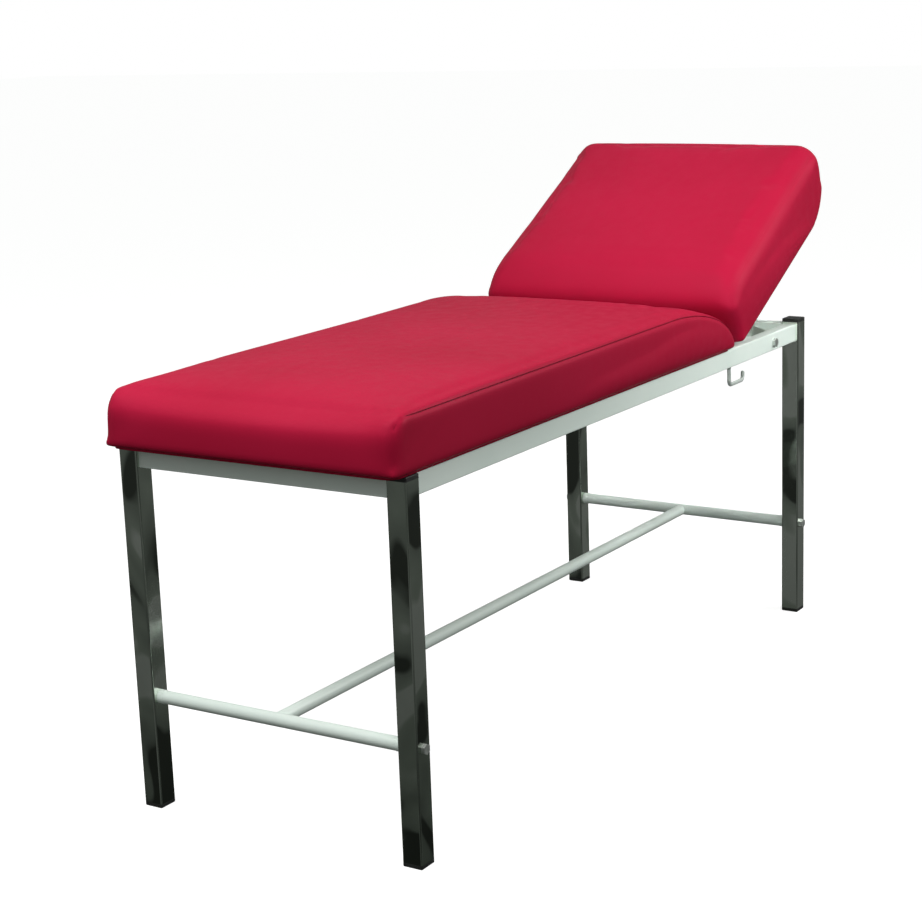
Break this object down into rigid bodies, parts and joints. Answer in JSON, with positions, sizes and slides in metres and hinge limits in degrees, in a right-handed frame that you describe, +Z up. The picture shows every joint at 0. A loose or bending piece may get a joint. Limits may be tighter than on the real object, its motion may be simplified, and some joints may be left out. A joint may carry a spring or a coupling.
{
  "type": "treatment couch",
  "caption": "Fixed-height treatment couch: square-tube stand, padded seat section and padded backrest raised on a prop over notched racks.",
  "frame": {"origin": "on the floor under the middle of the couch's whole box, with the backrest as built", "axes": "+X from foot to head, +Y to the left as seen from the foot end, +Z up"},
  "size_m": [1.8045, 0.632, 1.0775],
  "materials": {
    "chrome_tube": "polished chrome plate on square steel tube",
    "white_paint": "satin powder coat, white with a faint green cast",
    "red_vinyl": "crimson upholstery vinyl, fine leather grain, soft sheen",
    "foam": "open-cell upholstery foam, hidden",
    "plywood": "raw birch plywood",
    "black_plastic": "moulded black polyethylene caps",
    "zinc_steel": "bright zinc plated steel",
    "hook_steel": "grey coated round bar"
  },
  "bodies": {
    "stand": {"accessory_hook_left": "hook_steel", "accessory_hook_right": "hook_steel", "back_rest_rail": "white_paint", "board_tabs": "white_paint", "corner_gusset_foot_left": "white_paint", "corner_gusset_foot_right": "white_paint", "corner_gusset_head_left": "white_paint", "corner_gusset_head_right": "white_paint", "cradle_bar": "white_paint", "cradle_bolts": "zinc_steel", "cradle_hanger_left": "white_paint", "cradle_hanger_right": "white_paint", "cradle_nuts": "zinc_steel", "cross_stretcher_foot": "white_paint", "cross_stretcher_head": "white_paint", "foot_cap_foot_left": "black_plastic", "foot_cap_foot_right": "black_plastic", "foot_cap_head_left": "black_plastic", "foot_cap_head_right": "black_plastic", "foot_rail": "white_paint", "head_rail": "white_paint", "hinge_lug_left": "white_paint", "hinge_lug_right": "white_paint", "hinge_rail": "white_paint", "leg_foot_left": "chrome_tube", "leg_foot_right": "chrome_tube", "leg_head_left": "chrome_tube", "leg_head_right": "chrome_tube", "long_stretcher": "white_paint", "rack_bar_left": "white_paint", "rack_bar_right": "white_paint", "rail_end_plates": "white_paint", "seat_board": "plywood", "seat_cover": "red_vinyl", "seat_foam": "foam", "seat_rail_foot": "white_paint", "seat_rail_middle": "white_paint", "seat_screws": "zinc_steel", "side_rail_left": "white_paint", "side_rail_right": "white_paint", "stretcher_bolts": "zinc_steel", "stretcher_plugs": "white_paint", "top_cap_foot_left": "black_plastic", "top_cap_foot_right": "black_plastic", "top_cap_head_left": "black_plastic", "top_cap_head_right": "black_plastic"},
    "backrest": {"back_board": "plywood", "back_cover": "red_vinyl", "back_foam": "foam", "hinge_pins": "zinc_steel", "hinge_strap_left": "zinc_steel", "hinge_strap_right": "zinc_steel", "prop_ear_left": "zinc_steel", "prop_ear_right": "zinc_steel"},
    "prop": {"prop_arm_left": "zinc_steel", "prop_arm_right": "zinc_steel", "prop_catch_rod": "zinc_steel", "prop_pivot_rod": "zinc_steel"}
  },
  "joints": [
    {"name": "backrest_hinge", "type": "hinge", "parent": "stand", "child": "backrest", "pos_m": [0.448, 0, 0.67], "axis": [0, -1, 0], "range_deg": [-25.5, 12]},
    {"name": "prop_pivot", "type": "hinge", "parent": "backrest", "child": "prop", "pos_m": [0.57218, 0, 0.73464], "axis": [0, -1, 0], "range_deg": [-24, 51]}
  ],
  "couplings": [
    {"joint": "prop_pivot", "follows": "backrest_hinge", "ratio": -2}
  ]
}
